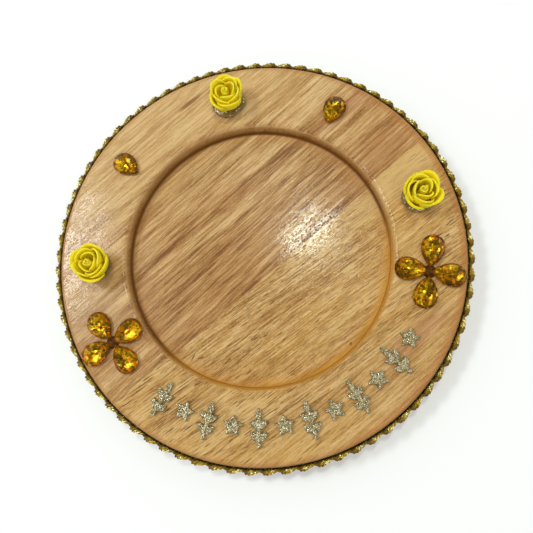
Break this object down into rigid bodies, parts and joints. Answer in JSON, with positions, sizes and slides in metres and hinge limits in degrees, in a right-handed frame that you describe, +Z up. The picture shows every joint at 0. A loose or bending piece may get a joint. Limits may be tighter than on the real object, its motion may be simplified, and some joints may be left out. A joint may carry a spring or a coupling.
{
  "type": "divination tray",
  "caption": "Round turned wooden tray with a wide rim and shallow recess, gold braid round its edge, foam roses, amber rhinestones and glitter cut-outs on the rim.",
  "frame": {"origin": "under the middle of the tray, on the flat base that it rests on", "axes": "+Z up, out of the recess; -Y towards the row of glitter ornaments; +X to the right seen from above with that row at the bottom"},
  "size_m": [0.2497, 0.2498, 0.0362],
  "materials": {
    "varnished_wood": "clear varnish",
    "gold_braid": "metallic thread",
    "yellow_foam": "matte foam",
    "clear_glue": "clear, with bubbles",
    "amber_acrylic": "faceted, foil backed",
    "glitter_foam": "coarse glitter"
  },
  "bodies": {
    "root": {"board_stave_1": "varnished_wood", "board_stave_2": "varnished_wood", "board_stave_3": "varnished_wood", "board_stave_4": "varnished_wood", "edge_braid": "gold_braid", "flower_left_stone_1": "amber_acrylic", "flower_left_stone_2": "amber_acrylic", "flower_left_stone_3": "amber_acrylic", "flower_left_stone_4": "amber_acrylic", "flower_right_stone_1": "amber_acrylic", "flower_right_stone_2": "amber_acrylic", "flower_right_stone_3": "amber_acrylic", "flower_right_stone_4": "amber_acrylic", "glitter_ornament_01": "glitter_foam", "glitter_ornament_02": "glitter_foam", "glitter_ornament_03": "glitter_foam", "glitter_ornament_04": "glitter_foam", "glitter_ornament_05": "glitter_foam", "glitter_ornament_06": "glitter_foam", "glitter_ornament_07": "glitter_foam", "glitter_ornament_08": "glitter_foam", "glitter_ornament_09": "glitter_foam", "glitter_ornament_10": "glitter_foam", "glitter_ornament_11": "glitter_foam", "glitter_ornament_12": "glitter_foam", "rhinestone_left": "amber_acrylic", "rhinestone_right": "amber_acrylic", "rose_left_glue_pad": "clear_glue", "rose_left_heart": "yellow_foam", "rose_left_inner_petals": "yellow_foam", "rose_left_outer_petals": "yellow_foam", "rose_right_glue_pad": "clear_glue", "rose_right_heart": "yellow_foam", "rose_right_inner_petals": "yellow_foam", "rose_right_outer_petals": "yellow_foam", "rose_top_glue_pad": "clear_glue", "rose_top_heart": "yellow_foam", "rose_top_inner_petals": "yellow_foam", "rose_top_outer_petals": "yellow_foam"}
  },
  "joints": []
}
